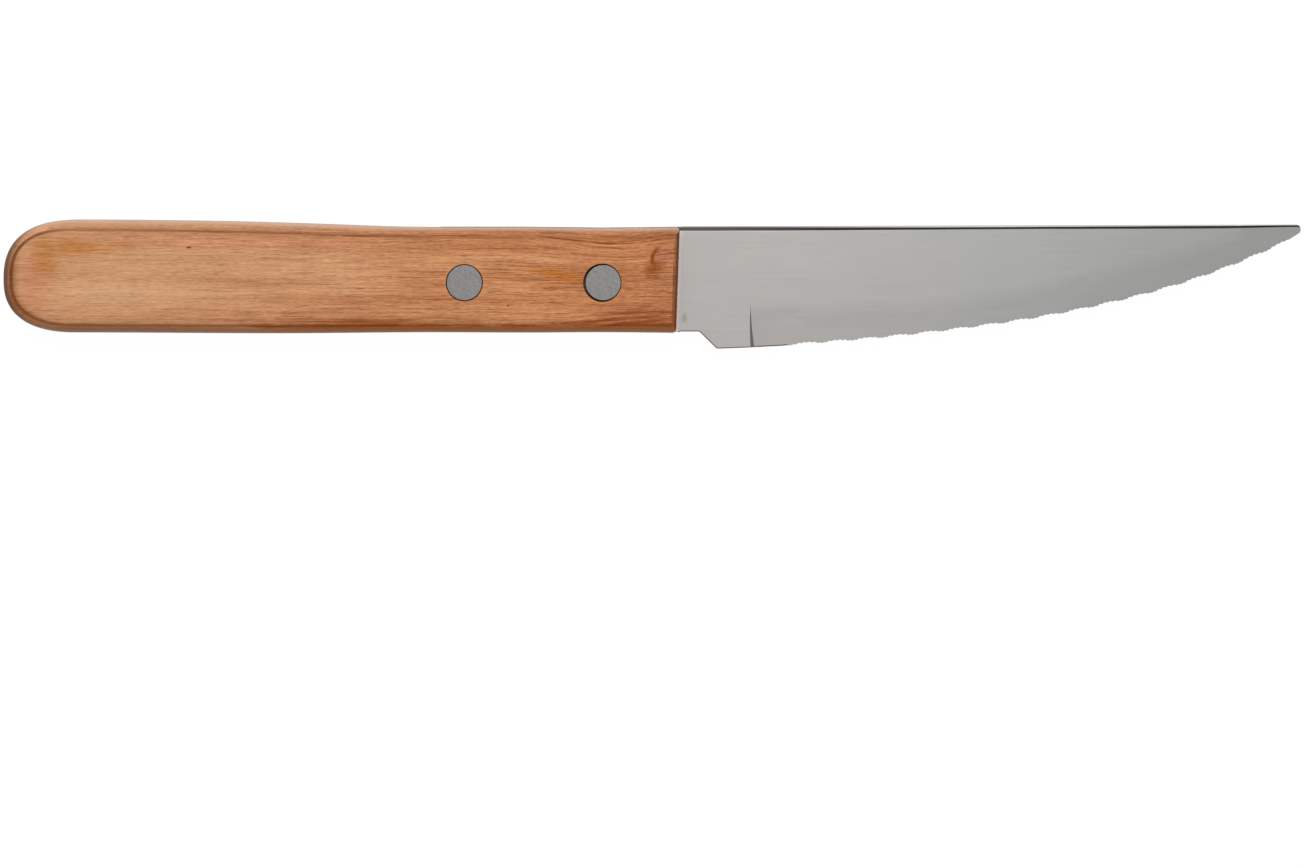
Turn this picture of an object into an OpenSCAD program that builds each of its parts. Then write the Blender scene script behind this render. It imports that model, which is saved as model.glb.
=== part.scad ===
// Steak knife, lying on its side: +X to the tip, +Y to the spine, +Z up from the table.
// The origin is under the middle of the knife. All sizes are in millimetres.

/* [Overall] */
// Length from butt to tip
overall_length = 210; // [200:1:216]

/* [Handle] */
// Length of the handle along its top edge
handle_length = 109.3; // [106:0.1:113]
// Thickness between the two flat faces
handle_thickness = 10; // [9:0.5:12]
// Length of the rounded butt
butt_length = 12; // [10:0.5:14]
// Fullness of the butt's curve, where 2 is an ellipse
butt_fullness = 2.45; // [2:0.05:3]
// Height of the butt's rearmost point over the knife's middle line
butt_nose_y = 0.8; // [-1:0.1:2]
// Width of the rounded-over band, seen from above
band_width = 1.25; // [1:0.05:1.8]
// Slope of that band where it meets the flat face
crease_angle = 25; // [15:1:35]
// Radius of the front end's two long edges
front_round = 0.9; // [0.4:0.1:1.2]
// Radius of the front end's four short edges, where it meets spine side and edge side
corner_round = 0.7; // [0.3:0.1:1]
// Lean of the front end, its top further forward
front_lean = 2; // [0:0.5:4]

/* [Tang and slot] */
// Length of the tang inside the handle
tang_length = 38.7; // [38:0.1:42]
// Gap between the end of the tang and the end of the slot, at the edges
slot_gap = 0.9; // [0.3:0.1:1.5]
// Radius of the saw that cuts the slot
saw_radius = 60; // [55:5:80]
// How far the tang lies under the wood at its lower edge
tang_inset = 0.05; // [0:0.01:0.2]
// How far it stands out of the wood at its upper edge
tang_proud = 0.06; // [0:0.01:0.1]

/* [Rivets] */
// Distance from the handle's front to the front rivet
front_rivet_back = 12.35; // [11:0.05:13.5]
// Distance between the two rivets
rivet_spacing = 22.4; // [20:0.1:24]
// Height of the rivets over the knife's middle line
rivet_y = 0.3; // [-1:0.1:2]
// Diameter of the flat heads
head_d = 5.7; // [5:0.1:6]
// Thickness of the heads
head_t = 0.9; // [0.7:0.1:1.2]
// How far the heads lie under the wood
head_sink = 0.05; // [0:0.05:0.2]
// Diameter of the rear rivet's counterbores
rear_bore_d = 6; // [5.9:0.05:6.5]
// Diameter of the front rivet's counterbores, drilled a little wide
front_bore_d = 6.2; // [6:0.05:6.5]
// How far back from the front rivet its counterbores are drilled
front_bore_shift = 0.15; // [0:0.05:0.2]
// Outer diameter of the sleeve half's tube
sleeve_d = 3.6; // [3.2:0.1:4]
// Diameter of the pin half's shank, pressed into the sleeve
pin_d = 2.4; // [2:0.1:2.6]
// Clearance of the holes in the tang round the sleeves, on the diameter
tang_hole_play = 0.2; // [0.1:0.05:0.4]

/* [Blade] */
// Thickness of the sheet, and of the tang
stock = 1.5; // [1.2:0.1:1.8]
// Thickness at the spine near the tip
tip_thickness = 1.15; // [0.9:0.05:1.2]
// Height of the spine where it leaves the handle
spine_y = 9.36; // [9:0.01:9.6]
// Height of the spine at the tip
tip_y = 9.66; // [9.4:0.01:9.8]
// Roundness of the spine, its radius over half the thickness
spine_round = 1.03; // [1.02:0.01:1.2]
// Radius of the blunted tip
tip_radius = 0.82; // [0.5:0.01:1.2]
// Height of the ricasso's lower edge
ricasso_y = -7.7; // [-8:0.05:-7]
// Length of the ricasso's lower edge in front of the handle
ricasso_length = 3.2; // [2:0.1:4]
// Distance from the handle's front to the heel
heel_x = 6; // [5.5:0.1:7]
// Height of the heel, the lowest point of the knife
heel_y = -10.49; // [-11:0.01:-10]
// Radius of the heel's corner
heel_radius = 0.7; // [0.3:0.1:1]

/* [Cutting edge] */
// Direction of the edge at the heel, in degrees over the middle line
edge_heading = 1.84; // [1:0.01:2.8]
// Radius of the belly's first arc, from the heel
belly_radius_1 = 423; // [410:1:440]
// Radius of its second arc
belly_radius_2 = 200; // [190:1:210]
// Radius of its third arc, which ends at the tip
belly_radius_3 = 126; // [122:1:130]
// Length of the first arc
belly_length_1 = 47.1; // [45:0.1:48]
// Length of the second arc
belly_length_2 = 22.5; // [21:0.1:24]
// Thickness of the ground edge where the grind meets it as drawn
edge_thickness = 0.3; // [0.25:0.05:0.4]
// Width of the flat grind at full thickness
grind_width = 7.2; // [5:0.1:9]
// Radius of the one sweep that the grind follows, closest to the belly's three arcs
grind_radius = 225; // [220:1:235]
// Length along the edge at which that sweep first crosses the belly
grind_crossing_1 = 13.3; // [12:0.1:15]
// Length along the edge at which it crosses the belly again
grind_crossing_2 = 91.3; // [89:0.1:92]
// Distance from the handle's front to the plunge line, where the grind ends
plunge_x = 11.35; // [10:0.05:13]
// Radius of the plunge line
plunge_radius = 60; // [52:1:80]

/* [Serrations] */
// Distance along the edge from the heel to the first scallop
scallop_start = 12.2; // [11:0.1:12.4]
// Length of one scallop along the edge
scallop_pitch = 4.93; // [4.8:0.01:4.97]
// Number of scallops
scallop_count = 17; // [16:1:17]
// Depth of a scallop in the edge's outline
scallop_depth = 0.24; // [0.1:0.01:0.3]
// Fine teeth in each scallop
teeth_per_scallop = 6; // [4:1:7]
// Depth of a fine tooth in the edge's outline
tooth_depth = 0.13; // [0.06:0.01:0.17]
// Slope at which the back of the edge is fluted
flute_angle = 20; // [16:1:25]
// Blunt edge left at the points between scallops
point_land = 0.05; // [0.03:0.01:0.08]

/* [Hidden] */
$fn = 96;

butt_x = -overall_length / 2;
tip_x = overall_length / 2;
front_x = butt_x + handle_length;
mid_z = handle_thickness / 2;
half_stock = stock / 2;
half_tip = tip_thickness / 2;
blade_length = tip_x - front_x;
overhang = 3; // how far the uncut handle and the cutting tools run past the finished faces
kerf = stock; // the saw cut holds the tang without play

// Stations of the handle's two long edges: distance from the butt, and height.
top_stations = [
    [butt_length, 10.44],
    [35, 10.21],
    [51, 9.76],
    [65, 9.28],
    [85, 9.22],
    [97, 9.08],
    [handle_length + overhang, 9.27]
];
low_stations = [
    [butt_length, -7.78],
    [45, -7.91],
    [67, -7.75],
    [85, -7.8],
    [97, -7.74],
    [handle_length + overhang, -7.89]
];
edge_steps = 18;
butt_steps = 12;
band_steps = 6;

rear_rivet_x = front_x - front_rivet_back - rivet_spacing;
front_rivet_x = front_x - front_rivet_back;
counterbore = head_t + head_sink;
pin_seat = counterbore + 0.35; // floor of the blind hole in the sleeve half
pin_gap = 0.4; // free length under the pin in that hole, and over the sleeve's end
tang_end_x = front_x - tang_length;

grind_slope = (half_stock - edge_thickness / 2) / grind_width;
tooth_pitch = scallop_pitch / teeth_per_scallop;
point_gap = 0.06; // width of the untouched points between scallops
tooth_gap = 0.07; // width of the untouched points between fine teeth
flute_back = 1; // how far a flute's tool starts outside the edge
flute_front = 1.8; // how far it reaches into the blade
tool_lift = 0.6; // how far it stands clear of the flute that it cuts

// Slope at a station: level at the butt, then the mean of its neighbours.
function slope(s, i) =
    i == 0 ? 0
    : let (a = s[i - 1], b = s[min(i + 1, len(s) - 1)])
    (b[1] - a[1]) / (b[0] - a[0]);

// Height of a long edge at distance d from the butt: a smooth curve through its stations.
function edge_y(s, d, i = 0) =
    i < len(s) - 2 && d > s[i + 1][0] ? edge_y(s, d, i + 1)
    : let (w = s[i + 1][0] - s[i][0], t = (d - s[i][0]) / w)
    (1 + 2 * t) * pow(1 - t, 2) * s[i][1]
    + t * pow(1 - t, 2) * w * slope(s, i)
    + t * t * (3 - 2 * t) * s[i + 1][1]
    + t * t * (t - 1) * w * slope(s, i + 1);

// A long edge from butt to front, and a quarter of the butt from its nose to that edge.
function long_edge(s) =
    let (run = handle_length + overhang - butt_length)
    [for (i = [1:edge_steps]) let (d = butt_length + run * i / edge_steps) [butt_x + d, edge_y(s, d)]];
function butt_quarter(s) =
    let (rise = s[0][1] - butt_nose_y, p = 2 / butt_fullness)
    [for (i = [1:butt_steps]) let (a = 90 * i / butt_steps)
        [butt_x + butt_length * (1 - pow(cos(a), p)), butt_nose_y + rise * pow(sin(a), p)]];

function reversed(v) = [for (i = [len(v) - 1:-1:0]) v[i]];

// The whole outline, from the front of the top edge round the butt to the front of the low edge.
outline = concat(
    reversed(concat(butt_quarter(top_stations), long_edge(top_stations))),
    [[butt_x, butt_nose_y]],
    concat(butt_quarter(low_stations), long_edge(low_stations))
);
outline_n = len(outline);

// Direction into the wood at a point of the outline.
function inward(i) =
    i == 0 ? [0, -1]
    : i == outline_n - 1 ? [0, 1]
    : let (d = outline[i + 1] - outline[i - 1])
    [-d[1], d[0]] / norm(d);

// Rings of the handle, bottom to top: how far each lies inside the outline, and its height.
band_turn = 90 - crease_angle;
band_radius = band_width / (1 - cos(band_turn));
function band_ring(k) =
    let (a = band_turn * k / band_steps)
    [band_radius * (1 - cos(a)), band_radius * (sin(band_turn) - sin(a))];
rings = concat(
    [for (k = [band_steps:-1:0]) band_ring(k)],
    [for (k = [0:band_steps]) [band_ring(k)[0], handle_thickness - band_ring(k)[1]]]
);

// The uncut handle: its outline drawn in ring by ring at both faces.
module handle_blank() {
    n = outline_n;
    top = n * (len(rings) - 1);
    points = [
        for (r = rings) for (i = [0:n - 1])
            let (p = outline[i] + r[0] * inward(i)) [p[0], p[1], r[1]]
    ];
    walls = [
        for (k = [0:len(rings) - 2]) for (i = [0:n - 1])
            let (a = k * n + i, b = k * n + (i + 1) % n)
            each [[a, b, b + n], [a, b + n, a + n]]
    ];
    half = (n - 1) / 2;
    faces = [
        for (i = [0:half - 1])
            let (j = n - 1 - i, strip = [[i, j, j - 1], [i, j - 1, i + 1]])
            for (t = strip) if (t[1] != t[2] && t[0] != t[2]) t
    ];
    caps = [for (t = faces) each [t, [t[0] + top, t[2] + top, t[1] + top]]];
    polyhedron(points = points, faces = concat(walls, caps));
}

// Both counterbores and the hole between them for one rivet.
module rivet_bores(x, bore_d, shift) {
    for (z = [-1, handle_thickness - counterbore])
        translate([x - shift, rivet_y, z]) cylinder(h = counterbore + 1, d = bore_d);
    translate([x, rivet_y, 0]) cylinder(h = handle_thickness, d = sleeve_d);
}

// The disc that a saw leaves free when it cuts in from the front end.
module saw_slot() {
    reach = (top_stations[0][1] - low_stations[0][1]) / 2;
    middle = (top_stations[0][1] + low_stations[0][1]) / 2;
    centre_x = tang_end_x - slot_gap + sqrt(saw_radius * saw_radius - reach * reach);
    translate([centre_x, middle, mid_z]) cylinder(h = kerf, r = saw_radius, center = true, $fn = 240);
}

// Where the leaning front end meets a long edge, and a point of that edge a little behind.
function front_corner(s) =
    let (y = edge_y(s, handle_length)) [front_x - (spine_y - y) * tan(front_lean), y];
function behind_corner(s) =
    let (back = 2) [front_corner(s)[0] - back, edge_y(s, front_corner(s)[0] - back - butt_x)];

// Everything in front of the leaning front end, with its two long edges rounded.
module front_cut() {
    size = 3 * handle_thickness;
    translate([front_x, spine_y, 0])
        rotate([90, 0, -front_lean])
        linear_extrude(2 * size, center = true)
        difference() {
            translate([-front_round, -overhang]) square([size, handle_thickness + 2 * overhang]);
            translate([-size, 0])
                offset(front_round, $fn = 28)
                offset(delta = -front_round)
                square([size, handle_thickness]);
        }
}

// What rounding the front end takes off at the long edge s, on the side up (1) or down (-1).
module corner_cut(s, side) {
    corner = front_corner(s) + [0.01, side * 0.01]; // a hair outside, so the round blends in
    other = front_corner(side > 0 ? low_stations : top_stations);
    arc = rounded(behind_corner(s), corner, other, corner_round);
    outside = corner + overhang * [1, side];
    translate([0, 0, -overhang])
        linear_extrude(handle_thickness + 2 * overhang)
        polygon(concat(arc, [[outside[0], arc[len(arc) - 1][1]], outside, [arc[0][0], outside[1]]]));
}

module handle() {
    color("peru") difference() {
        handle_blank();
        front_cut();
        corner_cut(top_stations, 1);
        corner_cut(low_stations, -1);
        saw_slot();
        rivet_bores(rear_rivet_x, rear_bore_d, 0);
        rivet_bores(front_rivet_x, front_bore_d, front_bore_shift);
    }
}

// A point on an arc of the edge that starts at [x, y, heading], after a length s.
function along(start, r, s) =
    let (h = start[2], a = h + s / r * 180 / PI)
    [start[0] + r * (sin(a) - sin(h)), start[1] - r * (cos(a) - cos(h)), a];

arc_1 = [front_x + heel_x, heel_y, edge_heading];
arc_2 = along(arc_1, belly_radius_1, belly_length_1);
arc_3 = along(arc_2, belly_radius_2, belly_length_2);
two_lengths = belly_length_1 + belly_length_2;

// Place and heading of the edge at a length s from the heel.
function on_edge(s) =
    s < belly_length_1 ? along(arc_1, belly_radius_1, s)
    : s < two_lengths ? along(arc_2, belly_radius_2, s - belly_length_1)
    : along(arc_3, belly_radius_3, s - two_lengths);

function flat(p) = [p[0], p[1]];

// Centre of the grind's sweep, and half the thickness that it leaves at a point of the edge.
crossing_1 = flat(on_edge(grind_crossing_1));
crossing_2 = flat(on_edge(grind_crossing_2));
chord = crossing_2 - crossing_1;
half_chord = norm(chord) / 2;
grind_centre = (crossing_1 + crossing_2) / 2
    + [-chord[1], chord[0]] / norm(chord) * sqrt(grind_radius * grind_radius - half_chord * half_chord);
half_edge = edge_thickness / 2;
function half_left(p) = half_edge + grind_slope * (grind_radius - norm(flat(p) - grind_centre));

// Points of the arc that rounds corner b between a and c with radius r.
function rounded(a, b, c, r, n = 5) =
    let (
        u = (a - b) / norm(a - b),
        v = (c - b) / norm(c - b),
        half = acos(u * v) / 2,
        centre = b + (u + v) / norm(u + v) * r / sin(half),
        first = b + u * r / tan(half) - centre,
        turn = (u[0] * v[1] - u[1] * v[0] < 0 ? 1 : -1) * (180 - 2 * half)
    )
    [for (i = [0:n]) let (t = turn * i / n)
        centre + [first[0] * cos(t) - first[1] * sin(t), first[0] * sin(t) + first[1] * cos(t)]];

// Edges of the tang, just under those of the handle.
tang_steps = 6;
tang_xs = [for (i = [0:tang_steps]) tang_end_x + tang_length * i / tang_steps];
tang_low = [for (x = tang_xs) [x, edge_y(low_stations, x - butt_x) + tang_inset]];
tang_top = [for (x = tang_xs) [x, edge_y(top_stations, x - butt_x) + tang_proud]];

notch = [front_x + ricasso_length, ricasso_y];
heel = flat(on_edge(0));
notch_radius = 0.3;
plunge_y = (ricasso_y + heel_y) / 2 + 2.5; // height at which the plunge line is furthest back
plain_edge = [for (s = [2:3:scallop_start - 1]) flat(on_edge(s))];
toothed_edge = [for (j = [0:scallop_count - 1]) flat(on_edge(scallop_start + (j + 0.5) * scallop_pitch))];
tip_centre = [tip_x - tip_radius, tip_y - tip_radius];
tip_heading = on_edge(scallop_start + scallop_count * scallop_pitch)[2];
tip_steps = 10;
tip_arc = [for (i = [0:tip_steps]) let (a = (tip_heading - 90) + (180 - tip_heading) * i / tip_steps)
    tip_centre + tip_radius * [cos(a), sin(a)]];

blade_outline = concat(
    tang_low,
    [[front_x + 0.1, ricasso_y]],
    rounded([front_x, ricasso_y], notch, heel, notch_radius),
    rounded(notch, heel, plain_edge[1], heel_radius),
    plain_edge,
    toothed_edge,
    tip_arc,
    [[front_x, spine_y]],
    reversed(tang_top)
);

// Everything that the flat grind takes off one side: a cone round the sweep's centre,
// stopped at the slanting plunge.
module grind() {
    past = 2;
    cone_h = 3;
    intersection() {
        translate([grind_centre[0], grind_centre[1], 0]) rotate_extrude($fn = 256) polygon([
            [grind_radius - grind_width - past, half_stock + past * grind_slope],
            [grind_radius + past, half_edge - past * grind_slope],
            [grind_radius + past, stock],
            [grind_radius - grind_width - past, stock]
        ]);
        translate([front_x + plunge_x + plunge_radius, plunge_y, half_stock - cone_h])
            cylinder(h = 2 * cone_h, r1 = plunge_radius - cone_h, r2 = plunge_radius + cone_h, $fn = 240);
    }
}

// The wedge that thins one side of the blade from the handle to the tip.
module taper() {
    width = 30;
    translate([front_x, -width / 2, half_stock])
        rotate([0, atan((half_stock - half_tip) / blade_length), 0])
        cube([blade_length + overhang, width, stock]);
}

// What is taken off both corners of the spine, round a slim tapering rod.
module spine_rounding() {
    r1 = half_stock * spine_round;
    r2 = half_tip * spine_round;
    from = 0.4;
    run = blade_length + overhang;
    lean = atan(((tip_y - r2) - (spine_y - r1)) / blade_length);
    translate([front_x, spine_y - r1, 0]) rotate([0, 0, lean]) difference() {
        translate([from, 0, -stock]) cube([run, 3, 2 * stock]);
        rotate([0, 90, 0]) cylinder(h = run + 1, r1 = r1, r2 = r1 + (r2 - r1) * (run + 1) / blade_length);
    }
}

// A round-bottomed tool for a flute, laid in from the back of the edge at length s.
// It is width wide, sinks depth below the slope through the edge, and rounds by its sag.
// Its circle has the given number of sides.
module flute(s, width, depth, sag, sides) {
    p = on_edge(s);
    r = width * width / (8 * sag) + sag / 2;
    translate([p[0], p[1], half_left(p) - point_land])
        rotate([0, 0, p[2]])
        rotate([-90 - flute_angle, 0, 0])
        translate([0, 0, -flute_back])
        linear_extrude(flute_back + flute_front)
        intersection() {
            translate([0, r - depth]) circle(r, $fn = sides);
            translate([-width / 2, -depth - 1]) square([width, depth + 1 + tool_lift]);
        }
}

// Sink of a flute for a given depth in the edge's outline.
function sink(depth) = depth * (tan(flute_angle) + grind_slope) * cos(flute_angle);
scallop_sag = point_land * cos(flute_angle) + sink(scallop_depth);
scallop_width = scallop_pitch - point_gap;
tooth_width = tooth_pitch - tooth_gap;
scallop_sides = 240;
tooth_sides = 120;

module scallops() {
    for (j = [0:scallop_count - 1])
        flute(scallop_start + (j + 0.5) * scallop_pitch, scallop_width, scallop_sag, scallop_sag, scallop_sides);
}

module fine_teeth() {
    for (j = [0:scallop_count - 1]) for (k = [0:teeth_per_scallop - 1]) {
        off = (k + 0.5) * tooth_pitch - scallop_pitch / 2;
        local = scallop_sag * (1 - pow(2 * off / scallop_width, 2));
        s = scallop_start + (j + 0.5) * scallop_pitch + off;
        flute(s, tooth_width, local + sink(tooth_depth), sink(tooth_depth), tooth_sides);
    }
}

module blade() {
    color("silver") translate([0, 0, mid_z]) difference() {
        difference() {
            linear_extrude(stock, center = true) polygon(blade_outline);
            for (side = [0, 1]) mirror([0, 0, side]) {
                taper();
                grind();
            }
            spine_rounding();
            for (x = [rear_rivet_x, front_rivet_x])
                translate([x, rivet_y, -stock]) cylinder(h = 2 * stock, d = sleeve_d + tang_hole_play);
        }
        scallops();
        fine_teeth();
    }
}

// The half with the solid shank, driven in from above.
module rivet_pin(x) {
    shank_end = pin_seat + pin_gap;
    head_z = handle_thickness - counterbore;
    color("darkgray") translate([x, rivet_y, 0]) {
        translate([0, 0, shank_end]) cylinder(h = head_z - shank_end, d = pin_d);
        translate([0, 0, head_z]) cylinder(h = head_t, d = head_d);
    }
}

// The half with the tube, set in from below and bored blind for the pin.
module rivet_sleeve(x) {
    tube_end = handle_thickness - counterbore - pin_gap;
    color("darkgray") translate([x, rivet_y, 0]) difference() {
        union() {
            translate([0, 0, head_sink]) cylinder(h = head_t, d = head_d);
            translate([0, 0, counterbore]) cylinder(h = tube_end - counterbore, d = sleeve_d);
        }
        translate([0, 0, pin_seat]) cylinder(h = handle_thickness, d = pin_d);
    }
}

module rear_rivet_pin() { rivet_pin(rear_rivet_x); }
module rear_rivet_sleeve() { rivet_sleeve(rear_rivet_x); }
module front_rivet_pin() { rivet_pin(front_rivet_x); }
module front_rivet_sleeve() { rivet_sleeve(front_rivet_x); }

blade();
handle();
rear_rivet_pin();
rear_rivet_sleeve();
front_rivet_pin();
front_rivet_sleeve();
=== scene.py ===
import math

import bmesh
import bpy
import numpy as np
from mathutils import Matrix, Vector


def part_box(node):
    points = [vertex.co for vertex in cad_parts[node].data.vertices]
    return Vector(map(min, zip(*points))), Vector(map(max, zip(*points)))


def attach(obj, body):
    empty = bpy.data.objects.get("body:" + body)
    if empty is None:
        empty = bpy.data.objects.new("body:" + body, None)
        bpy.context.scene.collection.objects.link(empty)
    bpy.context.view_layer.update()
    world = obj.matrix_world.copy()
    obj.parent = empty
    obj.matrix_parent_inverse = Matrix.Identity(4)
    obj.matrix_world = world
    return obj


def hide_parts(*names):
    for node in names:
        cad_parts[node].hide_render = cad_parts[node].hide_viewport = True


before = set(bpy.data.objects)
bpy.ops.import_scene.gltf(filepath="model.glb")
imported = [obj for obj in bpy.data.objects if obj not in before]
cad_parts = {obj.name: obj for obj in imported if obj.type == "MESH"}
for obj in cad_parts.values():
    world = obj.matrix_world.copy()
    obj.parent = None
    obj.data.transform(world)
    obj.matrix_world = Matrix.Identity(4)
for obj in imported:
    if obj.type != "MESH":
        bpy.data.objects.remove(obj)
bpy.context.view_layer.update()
mm = 0.001
weldDistance = 0.0005 * mm
print("frame loaded")


# Selecting and editing, as by hand. Sizes and places are in millimetres.

def pick(obj):
    if bpy.context.mode != "OBJECT":
        bpy.ops.object.mode_set(mode="OBJECT")
    bpy.ops.object.select_all(action="DESELECT")
    obj.select_set(True)
    bpy.context.view_layer.objects.active = obj


def openMesh(obj, kind="FACE"):
    pick(obj)
    bpy.ops.object.mode_set(mode="EDIT")
    bpy.ops.mesh.select_mode(type=kind)
    bpy.ops.mesh.select_all(action="DESELECT")


def closeMesh():
    bpy.ops.object.mode_set(mode="OBJECT")


def selectLevelFaces(obj, sign):
    # the faces that look straight up (1) or straight down (-1)
    bpy.ops.mesh.select_mode(type="FACE")
    bpy.ops.mesh.select_all(action="DESELECT")
    mesh = bmesh.from_edit_mesh(obj.data)
    for face in mesh.faces:
        face.select_set(face.normal.z * sign > 0.99)
    bmesh.update_edit_mesh(obj.data)


def selectEdges(obj, test):
    bpy.ops.mesh.select_mode(type="EDGE")
    bpy.ops.mesh.select_all(action="DESELECT")
    mesh = bmesh.from_edit_mesh(obj.data)
    for edge in mesh.edges:
        if len(edge.link_faces) == 2 and test(edge):
            edge.select_set(True)
    bmesh.update_edit_mesh(obj.data)


def pull(distance):
    # draws new walls from the selected faces, straight up or down
    bpy.ops.mesh.extrude_region_move(TRANSFORM_OT_translate={"value": (0, 0, distance * mm)})


def cutWith(obj, cutter):
    pick(obj)
    cut = obj.modifiers.new("cut", "BOOLEAN")
    cut.operation = "DIFFERENCE"
    cut.solver = "EXACT"
    cut.object = cutter
    bpy.ops.object.modifier_apply(modifier=cut.name)
    bpy.data.objects.remove(cutter)


def applyPlace():
    bpy.ops.object.transform_apply(location=True, rotation=True, scale=True)


def addDisc(radius, low, high, centre, sides=96):
    bpy.ops.object.select_all(action="DESELECT")
    low, high = low * mm, high * mm
    bpy.ops.mesh.primitive_cylinder_add(
        vertices=sides, radius=radius * mm, depth=high - low,
        location=(centre[0] * mm, centre[1] * mm, (low + high) / 2),
    )
    applyPlace()
    return bpy.context.active_object


def addBlock(low, high):
    bpy.ops.object.select_all(action="DESELECT")
    bpy.ops.mesh.primitive_cube_add(size=1, location=[(a + b) / 2 * mm for a, b in zip(low, high)])
    bpy.context.active_object.scale = [(b - a) * mm for a, b in zip(low, high)]
    applyPlace()
    return bpy.context.active_object


def turnAbout(obj, angle, axis, centre):
    # counter-clockwise, which for transform.rotate is a negative value
    pick(obj)
    bpy.ops.transform.rotate(value=-angle, orient_axis=axis, center_override=[c * mm for c in centre])
    applyPlace()


def finishMesh(obj, name, smoothUnder):
    openMesh(obj, "VERT")
    bpy.ops.mesh.select_all(action="SELECT")
    bpy.ops.mesh.remove_doubles(threshold=weldDistance)
    bpy.ops.mesh.normals_make_consistent(inside=False)
    closeMesh()
    applyPlace()
    bpy.ops.object.shade_smooth_by_angle(angle=math.radians(smoothUnder))
    weighted = obj.modifiers.new("weighted", "WEIGHTED_NORMAL")
    weighted.keep_sharp = True
    bpy.ops.object.modifier_apply(modifier=weighted.name)
    obj.name = name
    obj.data.name = name


# Handle: one piece of wood, sawn for the tang and bored for the rivets.

handleShape = {
    "length": 109.3,
    "frontHeight": 9.36,  # the height at which the front end is that far forward
    "buttLength": 12,
    "buttFullness": 2.45,
    "noseHeight": 0.8,
    "topStations": [  # distance from the butt, and height of the edge
        (12, 10.44), (35, 10.21), (51, 9.76), (65, 9.28), (85, 9.22), (97, 9.08), (112.3, 9.27),
    ],
    "lowStations": [(12, -7.78), (45, -7.91), (67, -7.75), (85, -7.8), (97, -7.74), (112.3, -7.89)],
    "edgeSteps": 90,
    "buttSteps": 40,
    "overrun": 8,  # spare length in front, longer than all the rings are deep
    "bandWidth": 1.25,
    "creaseAngle": 25,
    "bandSteps": 12,
    "rimRings": (0.15, 0.25, 0.4, 0.8, 1.4),  # steps inward on the flat, for the painted shade near the crease
    "frontLean": 2,
    "frontRound": 0.9,
    "cornerRound": 0.7,
    "roundSides": 64,
    "kerf": 1.5,
    "sawRadius": 60,
    "sawSides": 360,
    "slotGap": 0.9,
    "boreDepth": 0.95,
    "boreWidths": (6.0, 6.2),
    "boreShifts": (0.0, 0.15),
    "tubeHole": 3.6,
    "spare": 2,  # how far the cutters reach past the wood
    "halfReach": 30,  # and the long ones to each side
    "overlap": 0.01,  # keeps a cutter's faces off the faces of the wood
    "smoothUnder": 20,
}

handleLow, handleHigh = (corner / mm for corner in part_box("handle"))
bladeLow, bladeHigh = (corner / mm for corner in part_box("blade"))
rivetPlaces = []
for side in ("rear", "front"):
    low, high = (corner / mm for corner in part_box(side + "_rivet_pin"))
    rivetPlaces.append(((low.x + high.x) / 2, (low.y + high.y) / 2))
middle = handleHigh.z / 2
frontX = handleLow.x + handleShape["length"]
frontY = handleShape["frontHeight"]
frontLean = math.radians(handleShape["frontLean"])


def edgeHeight(stations, distance):
    # a smooth curve through the stations, level at the butt
    last = len(stations) - 1
    i = max(k for k in range(last) if distance >= stations[k][0] or k == 0)

    def slope(k):
        if k == 0:
            return 0
        before, after = stations[k - 1], stations[min(k + 1, last)]
        return (after[1] - before[1]) / (after[0] - before[0])

    width = stations[i + 1][0] - stations[i][0]
    t = (distance - stations[i][0]) / width
    return (
        (1 + 2 * t) * (1 - t) ** 2 * stations[i][1]
        + t * (1 - t) ** 2 * width * slope(i)
        + t * t * (3 - 2 * t) * stations[i + 1][1]
        + t * t * (t - 1) * width * slope(i + 1)
    )


def halfOutline(shape, stations):
    # from the nose of the butt along one edge to the front
    power = 2 / shape["buttFullness"]
    rise = stations[0][1] - shape["noseHeight"]
    points = []
    for i in range(1, shape["buttSteps"] + 1):
        turn = math.radians(90 * i / shape["buttSteps"])
        across = max(0.0, math.cos(turn)) ** power
        points.append((
            handleLow.x + shape["buttLength"] * (1 - across),
            shape["noseHeight"] + rise * math.sin(turn) ** power,
        ))
    run = stations[-1][0] - shape["buttLength"]
    for i in range(1, shape["edgeSteps"] + 1):
        distance = shape["buttLength"] + run * i / shape["edgeSteps"]
        points.append((handleLow.x + distance, edgeHeight(stations, distance)))
    points.append((points[-1][0] + shape["overrun"], points[-1][1]))
    return points


def handleOutline(shape):
    top = halfOutline(shape, shape["topStations"])
    low = halfOutline(shape, shape["lowStations"])
    return top[::-1] + [(handleLow.x, shape["noseHeight"])] + low


def addOutline(outline, height):
    # one level face with the shape of the handle
    bpy.ops.object.select_all(action="DESELECT")
    bpy.ops.mesh.primitive_circle_add(
        vertices=len(outline), radius=handleHigh.y * mm, fill_type="NGON",
        location=(0, 0, height * mm),
    )
    applyPlace()
    handle = bpy.context.active_object
    for vertex, (x, y) in zip(handle.data.vertices, outline):
        vertex.co = (x * mm, y * mm, height * mm)
    return handle


def drawWall(height):
    # the face drawn up into a closed slab
    bpy.ops.mesh.select_all(action="SELECT")
    pull(height)
    bpy.ops.mesh.select_all(action="SELECT")
    bpy.ops.mesh.normals_make_consistent(inside=False)


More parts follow.
